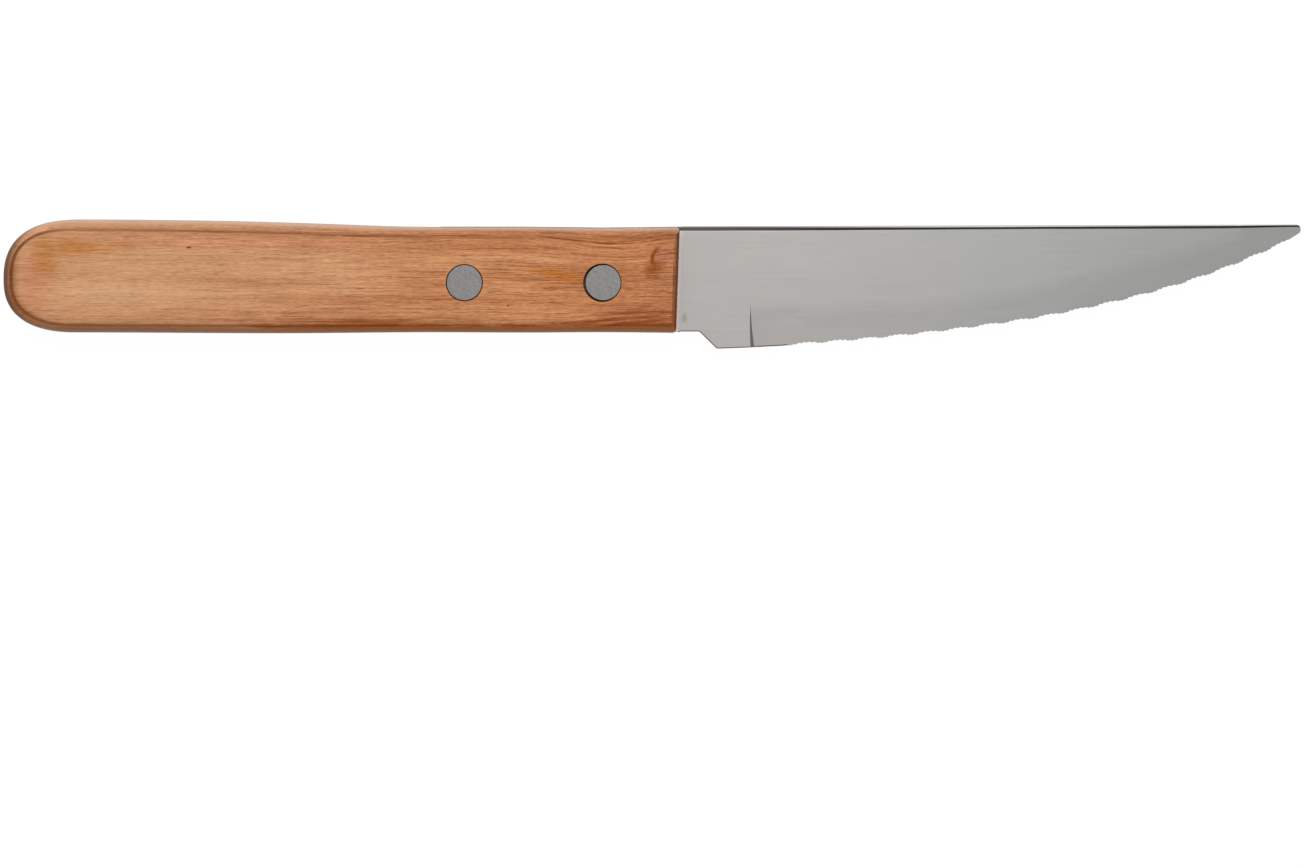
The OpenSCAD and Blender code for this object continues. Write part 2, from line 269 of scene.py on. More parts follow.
def roundBothBands(handle, shape, turn, radius):
    # the band round each flat in fine steps, then narrow rings on the flat itself
    for sign in (1, -1):
        selectLevelFaces(handle, sign)
        for i in range(shape["bandSteps"]):
            a = turn * i / shape["bandSteps"]
            b = turn * (i + 1) / shape["bandSteps"]
            bpy.ops.mesh.inset(
                thickness=radius * (math.cos(a) - math.cos(b)) * mm,
                depth=radius * (math.sin(b) - math.sin(a)) * mm,
            )
        for step in shape["rimRings"]:
            bpy.ops.mesh.inset(thickness=step * mm, depth=0)


def sawFront():
    # the front end, sawn off leaning
    bpy.ops.mesh.select_all(action="SELECT")
    bpy.ops.mesh.bisect(
        plane_co=(frontX * mm, frontY * mm, 0), plane_no=(math.cos(frontLean), -math.sin(frontLean), 0),
        use_fill=True, clear_outer=True,
    )


def roundFrontEdges(handle, shape):
    radius, spare, reach = shape["frontRound"], shape["spare"], shape["halfReach"]
    for edge, inward in ((0, 1), (handleHigh.z, -1)):
        axis = edge + radius * inward
        low, high = sorted((edge - spare * inward, axis))
        tool = addBlock((frontX - radius, -reach, low), (frontX + spare, reach, high))
        core = addDisc(radius, -reach - 1, reach + 1, (0, 0), shape["roundSides"])
        turnAbout(core, math.radians(90), "X", (0, 0, 0))
        core.location = ((frontX - radius) * mm, 0, axis * mm)
        cutWith(tool, core)
        turnAbout(tool, -frontLean, "Z", (frontX, frontY, 0))
        cutWith(handle, tool)


def roundFrontCorners(handle, shape):
    radius, spare, overlap = shape["cornerRound"], shape["spare"], shape["overlap"]
    for stations, side in ((shape["topStations"], 1), (shape["lowStations"], -1)):
        edge = edgeHeight(stations, frontX - handleLow.x)
        x = frontX - (frontY - edge) * math.tan(frontLean) + overlap
        edge += side * overlap
        low, high = sorted((edge - side * radius, edge + side * spare))
        tool = addBlock((x - radius, low, -spare), (x + spare, high, handleHigh.z + spare))
        core = addDisc(
            radius, -2 * spare, handleHigh.z + 2 * spare,
            (x - radius, edge - side * radius), shape["roundSides"],
        )
        cutWith(tool, core)
        turnAbout(tool, -frontLean * (1 + side) / 2, "Z", (x, edge, 0))
        cutWith(handle, tool)


def sawSlot(handle, shape):
    # the saw comes in from the front, and its arc ends the slot
    topEdge, lowEdge = shape["topStations"][0][1], shape["lowStations"][0][1]
    reach = (topEdge - lowEdge) / 2
    sawX = bladeLow.x - shape["slotGap"] + math.sqrt(shape["sawRadius"] ** 2 - reach ** 2)
    sawY = (topEdge + lowEdge) / 2
    low, high = middle - shape["kerf"] / 2, middle + shape["kerf"] / 2
    cutWith(handle, addDisc(shape["sawRadius"], low, high, (sawX, sawY), shape["sawSides"]))


def boreForRivets(handle, shape):
    # a wide bore for the head at each end, and a hole for the tube
    spare, depth = shape["spare"], shape["boreDepth"]
    for (x, y), width, shift in zip(rivetPlaces, shape["boreWidths"], shape["boreShifts"]):
        for low, high in ((-spare, depth), (handleHigh.z - depth, handleHigh.z + spare)):
            cutWith(handle, addDisc(width / 2, low, high, (x - shift, y)))
        cutWith(handle, addDisc(shape["tubeHole"] / 2, 0, handleHigh.z, (x, y)))


def rimDistance(points, outline):
    # how far each point lies inside the outline, seen from above
    starts = np.array(outline)
    along = np.roll(starts, -1, axis=0) - starts
    nearest = np.full(len(points), np.inf)
    for start, step in zip(starts[:-1], along[:-1]):
        t = np.clip(((points - start) @ step) / (step @ step), 0, 1)
        gap = np.linalg.norm(points - start - t[:, None] * step, axis=1)
        nearest = np.minimum(nearest, gap)
    return nearest


def storeRimDistance(handle, outline):
    # the wood's colours read it, to find the band and the crease
    places = np.array([vertex.co[:2] for vertex in handle.data.vertices]) / mm
    rim = handle.data.attributes.new("rim", "FLOAT", "POINT")
    rim.data.foreach_set("value", rimDistance(places, outline).astype(np.float32))


def buildHandle(shape):
    outline = handleOutline(shape)
    turn = math.radians(90 - shape["creaseAngle"])
    bandRadius = shape["bandWidth"] / (1 - math.cos(turn))
    bandHeight = bandRadius * math.sin(turn)
    handle = addOutline(outline, bandHeight)

    # the next three work in the open mesh
    openMesh(handle)
    drawWall(handleHigh.z - 2 * bandHeight)
    roundBothBands(handle, shape, turn, bandRadius)
    sawFront()
    closeMesh()

    roundFrontEdges(handle, shape)
    roundFrontCorners(handle, shape)
    sawSlot(handle, shape)
    boreForRivets(handle, shape)
    finishMesh(handle, "handleWood", shape["smoothUnder"])
    storeRimDistance(handle, outline)
    return handle


# Rivets: a pin with a solid shank, pressed into a sleeve with a blind tube.

rivetShape = {
    "headThickness": 0.9,
    "tubeWidth": 3.6,
    "shankWidth": 2.4,
    "seat": 1.3,  # the height at which the blind tube ends
    "headRound": 0.07,
    "headSides": 128,
    "rimSearch": 0.05,  # an edge of the rim lies this near to the outer circle
    "smoothUnder": 35,
}


def buildRivetHalf(shape, node, name, isSleeve):
    low, high = (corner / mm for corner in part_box(node))
    x, y = (low.x + high.x) / 2, (low.y + high.y) / 2
    headRadius = (high.x - low.x) / 2
    if isSleeve:
        towards, neck = 1, shape["tubeWidth"] / 2
        headLow, headHigh = low.z, low.z + shape["headThickness"]
        length, outer = high.z - headHigh, headLow
    else:
        towards, neck = -1, shape["shankWidth"] / 2
        headLow, headHigh = high.z - shape["headThickness"], high.z
        length, outer = headLow - low.z, headHigh

    rivet = addDisc(headRadius, headLow, headHigh, (x, y), shape["headSides"])
    openMesh(rivet)
    selectLevelFaces(rivet, towards)
    bpy.ops.mesh.inset(thickness=(headRadius - neck) * mm, depth=0)
    pull(towards * length)
    if isSleeve:
        bpy.ops.mesh.inset(thickness=(neck - shape["shankWidth"] / 2) * mm, depth=0)
        pull(shape["seat"] - high.z)

    # the outer rim of the head is rounded a little
    def onRim(edge):
        ends = [vertex.co / mm for vertex in edge.verts]
        level = all(abs(end.z - outer) < shape["rimSearch"] for end in ends)
        far = all(math.hypot(end.x - x, end.y - y) > headRadius - shape["rimSearch"] for end in ends)
        return level and far

    selectEdges(rivet, onRim)
    bpy.ops.mesh.bevel(offset=shape["headRound"] * mm, segments=3, profile=0.5)
    closeMesh()
    finishMesh(rivet, name, shape["smoothUnder"])
    return rivet


# Blade: the sheet from the frame, its parts merged and its blanked edges rolled over.

bladeShape = {
    "rollOver": 0.24,  # radius that blanking leaves on the heel and the ricasso
    "rollSteps": 4,
    "plainEnd": 22.0,  # where the plain part of the edge ends
    "mergeUnder": 0.05,  # in degrees, between the faces of one plane
    "smoothUnder": 14,
}


def buildBlade(shape):
    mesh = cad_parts["blade"].data.copy()
    blade = bpy.data.objects.new("bladeSteel", mesh)
    bpy.context.scene.collection.objects.link(blade)
    openMesh(blade, "VERT")
    bpy.ops.mesh.select_all(action="SELECT")
    bpy.ops.mesh.customdata_custom_splitnormals_clear()
    bpy.ops.mesh.remove_doubles(threshold=weldDistance)
    bpy.ops.mesh.dissolve_limited(angle_limit=math.radians(shape["mergeUnder"]))
    bpy.ops.mesh.normals_make_consistent(inside=False)

    # between a flat face and a wall, under the blade and behind the teeth
    def blanked(edge):
        flat, wall = sorted((abs(face.normal.z) for face in edge.link_faces), reverse=True)
        ends = [vertex.co / mm for vertex in edge.verts]
        shown = all(frontX - 0.01 < end.x < shape["plainEnd"] and end.y < 0 for end in ends)
        return shown and flat > 0.9 and wall < 0.3

    selectEdges(blade, blanked)
    bpy.ops.mesh.bevel(offset=shape["rollOver"] * mm, segments=shape["rollSteps"], profile=0.5)
    closeMesh()
    finishMesh(blade, "bladeSteel", shape["smoothUnder"])
    return blade


# Shader maths: a wire is one socket, and an expression on wires adds its nodes.

class Wire:
    def __init__(self, tree, socket=None):
        self.tree = tree
        self.socket = socket

    def make(self, kind, settings={}, inputs={}, out=0):
        node = self.tree.nodes.new(kind)
        for name, value in settings.items():
            setattr(node, name, value)
        for name, value in inputs.items():
            if isinstance(value, Wire):
                self.tree.links.new(value.socket, node.inputs[name])
            else:
                node.inputs[name].default_value = value
        return Wire(self.tree, node.outputs[out])

    def maths(self, operation, *values):
        return self.make("ShaderNodeMath", {"operation": operation}, dict(enumerate(values)))

    def __add__(self, other):
        return self.maths("ADD", self, other)

    def __radd__(self, other):
        return self.maths("ADD", other, self)

    def __sub__(self, other):
        return self.maths("SUBTRACT", self, other)

    def __rsub__(self, other):
        return self.maths("SUBTRACT", other, self)

    def __mul__(self, other):
        return self.maths("MULTIPLY", self, other)

    def __rmul__(self, other):
        return self.maths("MULTIPLY", other, self)

    def __truediv__(self, other):
        return self.maths("DIVIDE", self, other)

    def __pow__(self, other):
        return self.maths("POWER", self, other)

    def __abs__(self):
        return self.maths("ABSOLUTE", self)

    def atLeast(self, other):
        return self.maths("MAXIMUM", self, other)

    def atMost(self, other):
        return self.maths("MINIMUM", self, other)

    def above(self, start, end):
        # 0 below start, 1 above end, smooth between them
        return self.make(
            "ShaderNodeMapRange", {"interpolation_type": "SMOOTHSTEP"},
            {"Value": self, "From Min": start, "From Max": end, "To Min": 0.0, "To Max": 1.0},
        )

    def between(self, rise, fall):
        # 0, then 1 between the two spans, then 0 again
        return self.above(*rise) * (1 - self.above(*fall))

    def tinted(self, colour, amount):
        # this colour, turned towards another by an amount
        return self.make(
            "ShaderNodeMix", {"data_type": "RGBA"}, {0: amount, 6: self, 7: (*colour, 1)}, out=2,
        )

    def shaded(self, factor):
        # this colour made darker or lighter by a factor
        return self.make("ShaderNodeVectorMath", {"operation": "SCALE"}, {0: self, 3: factor})

    def scaled(self, amounts):
        return self.make("ShaderNodeVectorMath", {"operation": "MULTIPLY"}, {0: self, 1: amounts})

    def noise(self, scales, detail, roughness, offset=(0, 0, 0)):
        place = self.make("ShaderNodeMapping", {}, {"Vector": self, "Location": offset, "Scale": scales})
        return self.make("ShaderNodeTexNoise", {}, {
            "Vector": place, "Scale": 1.0, "Detail": detail, "Roughness": roughness,
        })


def newMaterial(name):
    material = bpy.data.materials.new(name)
    material.use_nodes = True
    tree = material.node_tree
    tree.nodes.clear()
    return material, Wire(tree)


def closeMaterial(start, shader):
    output = start.tree.nodes.new("ShaderNodeOutputMaterial")
    start.tree.links.new(shader.socket, output.inputs["Surface"])


def millimetres(start):
    # the place in the object's own coordinates
    point = start.make("ShaderNodeTexCoord", out="Object")
    return point.scaled((1000, 1000, 1000))


def parts(point):
    return [point.make("ShaderNodeSeparateXYZ", {}, {0: point}, out=i) for i in range(3)]


def facingOf(start):
    # the parts of the surface's direction
    return parts(start.make("ShaderNodeNewGeometry", out="Normal"))


def plain(start, colour):
    base = start.make("ShaderNodeRGB")
    base.socket.default_value = (*colour, 1)
    return base


def around(x, y, centre, size):
    # 0 in the middle of an ellipse and 1 on its rim
    across = (x - centre[0]) / size[0]
    up = (y - centre[1]) / size[1]
    return (across * across + up * up) ** 0.5


# Wood: the colours, the layers of noise, and the marks that the photo shows.

woodLook = {
    "light": (0.575, 0.292, 0.145),
    "warm": (0.500, 0.194, 0.073),
    "front": (0.385, 0.138, 0.055),
    "line": (0.240, 0.056, 0.008),
    # the colour of the painted shade at the crease
    "crease": (0.150, 0.034, 0.002),
    "endGrainAndShade": (0.092, 0.026, 0.009),
    # the colour of the painted shade on the band
    "edge": (0.300, 0.104, 0.034),
    "lowEdge": (0.35, 0.096, 0.010),
    "rimSheen": (0.520, 0.375, 0.290),
    "boreShade": (0.030, 0.012, 0.006),
    "boreShadeRadius": (3.4, 3.6),
    "topShift": 0.40,  # how much further in the crease shows along the top
    "buttShift": 0.14,
    "knot": (2.03, 4.15),
    "hook": (0.240, 0.050, 0.0),
    "hookSize": (2.25, 2.0),
    "ringSpacing": 2.0,
    "pith": (0.9, -20.0),  # where the rings are centred: Y, and Z
    "firstRing": 30.95,
}

# Each layer: scales along X, Y and Z, detail, roughness, and offset.
woodNoise = {
    "sway": ((0.022, 0.05, 0.05), 2, 0.5),
    "ripple": ((0.10, 0.35, 0.35), 2, 0.5, (7, 3, 0)),
    "cloud": ((0.035, 0.16, 0.16), 3, 0.5, (1, 5, 2)),
    "grit": ((0.9, 7.5, 7.5), 1, 0.5, (6, 2, 8)),
    "hair": ((0.22, 5.8, 5.8), 3, 0.6),
    "fibre": ((0.075, 3.0, 3.0), 4, 0.62, (3, 9, 1)),
    "strand": ((0.025, 0.60, 0.60), 4, 0.6, (8, 2, 6)),
    "wobble": ((0.22, 1.3, 1.3), 4, 0.65, (4, 4, 4)),
}

# Marks on the upper face, in the bent grain: place, half size, slope, colour, strength.
woodMarks = {
    "rosyTop": ((-68.0, 7.2), (36.0, 2.3), 0.0, (0.53, 0.198, 0.092), 0.52),
    "rosyButt": ((-99.8, 0.5), (3.8, 7.0), 0.0, (0.54, 0.215, 0.110), 0.75),
    "paleHeart": ((-86.0, -1.4), (15.0, 2.6), 0.0, (0.640, 0.370, 0.200), 0.45),
    "lowRosy": ((-72.0, -4.9), (34.0, 2.0), 0.0, (0.47, 0.190, 0.085), 0.55),
    "buttStainArm": ((-93.0, 5.9), (8.3, 1.7), 0.01, (0.48, 0.186, 0.042), 0.88),
    "buttStainLimb": ((-98.0, 4.0), (2.8, 4.6), 0.0, (0.49, 0.192, 0.050), 0.80),
    "rivetStain": ((-15.0, 1.6), (6.4, 1.05), -0.20, (0.48, 0.145, 0.014), 1.0),
    "lowWarm": ((-48.0, -6.3), (26.0, 1.5), 0.0, (0.33, 0.105, 0.028), 0.65),
    "lowStreak": ((-42.0, -6.75), (30.0, 0.62), 0.0, (0.26, 0.052, 0.0), 0.85),
    "lowStreakOver": ((-44.0, -5.9), (15.0, 0.24), 0.01, (0.28, 0.066, 0.0), 0.65),
    "lowFrontWarm": ((-2.0, -6.2), (10.0, 2.6), 0.0, (0.35, 0.102, 0.034), 0.75),
    "lowFrontStreak": ((-7.0, -6.3), (13.0, 0.32), 0.0, (0.25, 0.046, 0.0), 1.0),
    "lowFrontUnder": ((-4.0, -7.1), (11.0, 0.28), 0.02, (0.25, 0.046, 0.0), 0.95),
    "lowFrontOver": ((-0.5, -5.3), (6.0, 0.24), 0.0, (0.27, 0.056, 0.0), 0.85),
    "topLine": ((-38.0, 7.85), (18.0, 0.20), 0.0, (0.28, 0.058, 0.0), 0.85),
    "topFrontLine": ((-6.5, 8.1), (12.5, 0.21), 0.0, (0.25, 0.046, 0.0), 1.0),
    "topFrontOver": ((-13.0, 9.2), (12.0, 0.14), 0.0, (0.30, 0.076, 0.0), 0.50),
    "topFrontUnder": ((-3.0, 7.3), (7.0, 0.16), 0.0, (0.29, 0.068, 0.0), 0.65),
    "knotHeart": ((2.0, 4.9), (2.1, 1.8), 0.0, (0.415, 0.150, 0.075), 0.90),
    "knotFoot": ((-0.2, 2.7), (2.0, 2.3), 0.3, (0.31, 0.068, 0.0), 0.95),
    "fleckLeft": ((-74.9, 6.0), (0.52, 0.20), 0.06, (0.05, 0.014, 0.004), 1.0),
    "fleckRight": ((-23.4, -3.4), (0.36, 0.20), 0.0, (0.10, 0.030, 0.008), 0.95),
}


def mark(x, y, wobble, centre, size, slope):
    # 1 inside a ragged ellipse that leans along its slope
    leaning = y - (x - centre[0]) * slope
    return 1 - (around(x, leaning, centre, size) + wobble).above(0.20, 1.15)


class Wood:
    # one point of the wood: where it is, the bent grain through it, and its fibres
    def __init__(self, start):
        point = millimetres(start)
        self.x, self.y, self.z = parts(point)
        self.onTop = self.z.above(middle - 0.5, middle + 0.5)
        self.towardsFront = self.x.above(-92, 8)
        self.sway = point.noise(*woodNoise["sway"]) - 0.5
        self.ripple = point.noise(*woodNoise["ripple"]) - 0.5
        self.cloud = (point.noise(*woodNoise["cloud"]) - 0.5) * 5

        # towards the front the grain bends in from both sides, and round the knot
        topBend = self.x.above(-5, 6) * 1.2 - self.x.above(-24, -5) * 1.5
        lowBend = self.x.above(-18, 6) * 1.5
        self.bent = self.y - topBend * self.y.above(0, 6.5) - lowBend * (1 - self.y.above(-6.5, 0))
        across = self.bent + self.ripple * 0.25
        grain = start.make("ShaderNodeCombineXYZ", {}, {0: self.x, 1: across, 2: self.z})

        # from grit to broad strands, each about -1 to 1
        names = ("grit", "hair", "fibre", "strand")
        layers = [(grain.noise(*woodNoise[name]) - 0.5) * 5 for name in names]
        self.grit, self.hair, self.fibre, self.strand = layers
        self.wobble = (grain.noise(*woodNoise["wobble"]) - 0.5) * 2.2


def warmed(base, wood, look):
    # paler at the butt, redder towards the front
    warmth = (wood.towardsFront ** 0.8 * 0.95 + wood.cloud * 0.28 + wood.strand * 0.22).above(0.0, 1.0)
    base = base.tinted(look["warm"], warmth)
    return base.tinted(look["front"], wood.x.above(-22, 8) * 0.36)


def marked(base, wood):
    streaky = 1.0 + wood.fibre * 0.50 + wood.hair * 0.40
    for centre, size, slope, colour, strength in woodMarks.values():
        shape = mark(wood.x, wood.bent, wood.wobble, centre, size, slope)
        base = base.tinted(colour, shape * wood.onTop * strength * streaky)
    return base


def fibred(base, wood, look):
    # fine fibres everywhere, and towards the front more dark dashes and threads
    contrast = 1.0 + wood.towardsFront * 0.90 + wood.x.above(-18, 4) * 0.55
    fibres = wood.grit * -0.14 + wood.hair * -0.17 + wood.fibre * -0.10 + wood.strand * -0.07
    base = base.shaded(1.0 + contrast * (fibres + wood.cloud * -0.05))
    dash = (wood.fibre * 0.6 + wood.hair * 0.8 + wood.grit * 0.3).above(0.30, 0.80)
    base = base.tinted(look["line"], dash * (0.14 + wood.towardsFront * 0.34))
    thread = (wood.fibre * 0.9 + wood.strand * 0.5).above(0.38, 0.70)
    return base.tinted(look["line"], thread * wood.towardsFront * 0.40)


def ringed(base, wood, look):
    # growth rings round a far pith, closing in towards the front
    fromPith = wood.y - look["pith"][0] + wood.x * 0.006
    depth = wood.z - look["pith"][1]
    ring = (fromPith * fromPith + depth * depth) ** 0.5 + wood.x * 0.0042
    ring = ring + wood.sway * 0.5 + wood.ripple * 0.10
    phase = base.maths("FRACT", (ring - look["firstRing"]) / look["ringSpacing"] + 20.0)
    base = base.tinted(look["line"], phase.between((0.55, 0.97), (0.975, 1.0)) * 0.16)
    thinLine = phase.between((0.90, 0.97), (0.975, 1.0))
    return base.tinted(look["line"], thinLine * (0.62 + wood.strand * 0.35))


def hooked(base, wood, look):
    # the dark hook on the butt's side of the knot
    reach = around(wood.x, wood.y, look["knot"], look["hookSize"]) + wood.wobble * 0.12
    line = reach.between((0.74, 0.92), (1.00, 1.20))
    line = line * (1 - wood.x.above(0.2, 1.8)) * wood.y.above(2.6, 3.6)
    return base.tinted(look["hook"], line * wood.onTop)


def edged(base, wood, look, facing):
    # the rounded band with painted light and shade on it, and the crease round the flat with painted shade
    # in it and on the flat beside it
    x, y = wood.x, wood.y
    topSide = y.above(2, 6) * x.above(-103, -92)
    lowSide = 1 - y.above(-4, 2)
    buttSide = 1 - x.above(-104, -93)
    rim = base.make("ShaderNodeAttribute", {"attribute_name": "rim"}, out=2)
    inside = rim - handleShape["bandWidth"] - topSide * look["topShift"] - buttSide * look["buttShift"]

    # painted shade on the flat beside the crease, strongest at the butt and along the low side
    shade = 1 - (inside.atLeast(0.0) * 0.55).atMost(1.0)
    shadeSide = (buttSide * (1 - y.above(2, 6))).atLeast(lowSide * 0.40)
    base = base.tinted(look["crease"], shade * shade * shadeSide * inside.above(-0.1, 0.1) * 0.98)

    onBand = 1 - inside.above(-0.35, -0.05)
    sunny = facing[1].above(-0.3, 0.5)
    # painted shade on the band where it faces away from the lamp
    base = base.tinted(look["edge"], onBand * (1 - sunny) * 0.40)
    base = base.tinted(look["lowEdge"], onBand * lowSide * (x.above(-70, -45) * 0.45 + 0.35))
    # painted light on the band at the butt and along the low side
    base = base.shaded(1.0 + onBand * (buttSide * 0.40 + lowSide * x.above(-80, -58) * 0.26))
    # painted shade on the band where it faces the lamp
    base = base.shaded(1.0 - onBand * sunny * (0.12 + wood.towardsFront * 0.08))
    rolled = abs(facing[2]).above(0.0, 0.30)
    # painted sheen near the outline, stronger on the side that faces the lamp
    base = base.tinted(look["rimSheen"], (1 - rim.above(-0.1, 0.85)) * (0.45 + sunny * 0.50) * rolled)

    # the crease itself as a painted dark line
    spread = inside / (1.0 + buttSide * 0.5 + lowSide * 0.15)
    line = spread.between((-0.28, -0.04), (0.02, 0.34))
    fade = 1 - x.above(-70, -35) * (0.25 + lowSide * 0.20)
    depth = 0.85 + buttSide * 0.13 - topSide * (x.above(-30, -8) * 0.30 + 0.27)
    return base.tinted(look["crease"], line * fade * (depth - lowSide * 0.12 + wood.strand * 0.15))


def shadeInBore(base, wood, look, rivet):
    # painted shade in the counterbore round the rivet
    outX, outY = wood.x - rivet[0], wood.y - rivet[1]
    far = ((outX * outX + outY * outY) ** 0.5).above(*look["boreShadeRadius"])
    sunk = wood.z.between((0.03, 0.10), (handleHigh.z - 0.10, handleHigh.z - 0.03))
    return base.tinted(look["boreShade"], (1 - far) * sunk * 0.9)


def makeWood(look):
    material, start = newMaterial("oiledHardwood")
    wood = Wood(start)
    facing = facingOf(start)
    base = warmed(plain(start, look["light"]), wood, look)
    base = marked(base, wood)
    base = fibred(base, wood, look)
    base = ringed(base, wood, look)
    base = hooked(base, wood, look)
    base = edged(base, wood, look, facing)
    for rivet in rivetPlaces:
        base = shadeInBore(base, wood, look, rivet)

    # end grain drinks more oil and goes dark, and this tint also paints shade on the end faces
    base = base.tinted(look["endGrainAndShade"], abs(facing[0]).above(0.12, 0.80) * 0.85)

    height = wood.fibre * 0.5 + wood.hair * 0.5
    bump = start.make("ShaderNodeBump", {}, {"Strength": 0.4, "Distance": 0.05 * mm, "Height": height})
    shader = start.make("ShaderNodeBsdfPrincipled", {}, {
        "Base Color": base,
        "Roughness": 0.46 + wood.fibre * 0.05,
        "Specular IOR Level": 0.16,
        "Normal": bump,
    })
    closeMaterial(start, shader)
    return material


# Steel: brushed along the blade, darker towards the tip in painted shade, with a painted bright line on
# the spine.

steelLook = {
    "heel": (0.322, 0.308, 0.296),
    "middle": (0.300, 0.298, 0.290),
    "tip": (0.252, 0.252, 0.246),
    "roughShadedWall": (0.040, 0.040, 0.039),
    "roughness": 0.34,
    "spineHeights": (9.36, 9.66),  # at the handle and at the tip
    "spineLight": (0.52, 0.51, 0.51),
    "spineDark": (0.013, 0.013, 0.013),
    "reflected": (0.62, 0.50, 0.46),  # beside the handle
    "plungeX": 11.35,  # from the handle's front
    "smudge": (0.20, 0.175, 0.150),
    "smudgePlace": (0.75, -5.5),  # from the handle's front, and Y
    "smudgeSize": (0.55, 1.1),
}

steelNoise = {
    "brush": ((0.10, 9.0, 9.0), 3, 0.6),
    "broad": ((0.02, 0.35, 0.35), 2, 0.5, (5, 1, 0)),
    "haze": ((0.12, 0.12, 0.12), 3, 0.5, (2, 8, 3)),
}


class Steel:
    # one point of the blade: where it is, which way it faces, and its brushing
    def __init__(self, start, look):
        point = millimetres(start)
        self.x, self.y = parts(point)[:2]
        self.brush, self.broad, self.haze = [point.noise(*layer) for layer in steelNoise.values()]
        facing = facingOf(start)
        self.flat = abs(facing[2])
        self.ground = 1 - facing[1].above(-0.075, -0.035)
        self.along = (self.x - frontX) / (bladeHigh.x - frontX)
        self.plunge = self.x - frontX - look["plungeX"]


def spineParts(steel, look):
    # the spine seen from above, the painted light on its far edge, and the painted glint below it
    along = steel.along
    atHandle, atTip = look["spineHeights"]
    under = along * (atTip - atHandle) + atHandle - steel.y + (steel.haze - 0.5) * 0.06
    nearTip = along.above(0.85, 1.0)
    below = under - 0.75 + along.above(0.1, 0.6) * 0.13 + nearTip * 0.20
    lightWidth = along.above(0.0, 0.4) * 0.15 + 0.12 - along.above(0.5, 0.8) * 0.07 - nearTip * 0.07
    onSpine = 1 - below.above(-0.10, 0.06)
    outer = 1 - ((under - lightWidth) / (0.17 - along.above(0.0, 0.6) * 0.12)).above(-1.0, 1.0)
    glint = below.between((-0.02, 0.08), (0.08, 0.20)) * (1 - along.above(0.20, 0.45))
    return onSpine, outer * along.above(-0.002, 0.0), glint


def steepness(steel):
    # 1 on the walls and teeth, less on the plunge line
    y, plunge = steel.y, steel.plunge
    atPlunge = plunge.between((-0.8, -0.6), (1.4, 1.6)) * y.above(-10.3, -10.1)
    steep = (1 - steel.flat.above(0.90, 0.985)) * (1 - atPlunge * 0.45)
    return steep * (1 - atPlunge * y.above(-4.9, -4.1))


def groundSteel(base, steel, look, glint):
    # the brushed faces, with the painted glint, the smudge, painted shade just past the plunge line, and
    # painted light on the ground bevel
    x, haze = steel.x, steel.haze
    # darker towards the tip, in painted shade
    base = base.tinted(look["middle"], x.above(18, 58))
    base = base.tinted(look["tip"], x.above(40, 104))
    base = base.shaded(1.0 + (steel.brush - 0.5) * 0.16 + (steel.broad - 0.5) * 0.06 + (haze - 0.5) * 0.05)
    base = base.shaded(glint * 0.22 + 1.0)
    place = (frontX + look["smudgePlace"][0], look["smudgePlace"][1])
    smudge = mark(x, steel.y, (haze - 0.5) * 2.0, place, look["smudgeSize"], 0.0)
    base = base.tinted(look["smudge"], smudge * steel.flat.above(0.9, 0.95) * 0.60)
    afterPlunge = steel.plunge.between((0.1, 0.4), (0.4, 6.0)) * steel.ground
    base = base.shaded(1.0 - afterPlunge * 0.05)
    # painted light on the ground bevel, which faces away from the lamp
    return base.shaded(steel.ground * (0.13 - steel.along.above(0.15, 0.45) * 0.06) + 1.0)


def besideHandle(base, steel, look):
    # the handle's painted warm reflection, and painted light on the steel next to it
    fromHandle = steel.x - frontX + (look["spineHeights"][0] - steel.y) * math.tan(frontLean)
    base = base.tinted(look["reflected"], (1 - fromHandle.above(-0.1, 0.75)) * 0.75)
    return base.shaded(1.0 + (1 - fromHandle.above(0.0, 2.0)) * 0.10)


def makeSteel(look):
    material, start = newMaterial("satinSteel")
    steel = Steel(start, look)
    onSpine, outer, glint = spineParts(steel, look)
    steep = steepness(steel).atLeast(onSpine)
    base = groundSteel(plain(start, look["heel"]), steel, look, glint)
    base = besideHandle(base, steel, look)
    # the walls, teeth and spine: rougher dark steel, and painted shade where the surface turns away
    base = base.tinted(look["roughShadedWall"], steep * 0.95)
    # the spine painted dark: unpolished steel, and a painted dark reflection
    base = base.tinted(look["spineDark"], onSpine * steel.along.above(0.0, 0.30) * 0.95)
    # painted highlight on the spine's outer edge
    base = base.tinted(look["spineLight"], outer * onSpine * 0.95)
    bump = start.make("ShaderNodeBump", {}, {
        "Strength": 0.12, "Distance": 0.02 * mm, "Height": steel.brush,
    })
    shader = start.make("ShaderNodeBsdfPrincipled", {}, {
        "Base Color": base,
        "Metallic": 1.0,
        "Roughness": look["roughness"] + (steel.brush - 0.5) * 0.06 + steep * 0.25,
        "Normal": bump,
    })
    closeMaterial(start, shader)
    return material


# Rivet metal: sanded flush with the wood, with scratches in one direction.

rivetLook = {
    "face": (0.158, 0.150, 0.150),
    "scratch": (0.21, 0.205, 0.20),
    # the colour of the painted shade on the head's rim
    "edge": (0.07, 0.066, 0.062),
    "scratchAngle": 52,
}


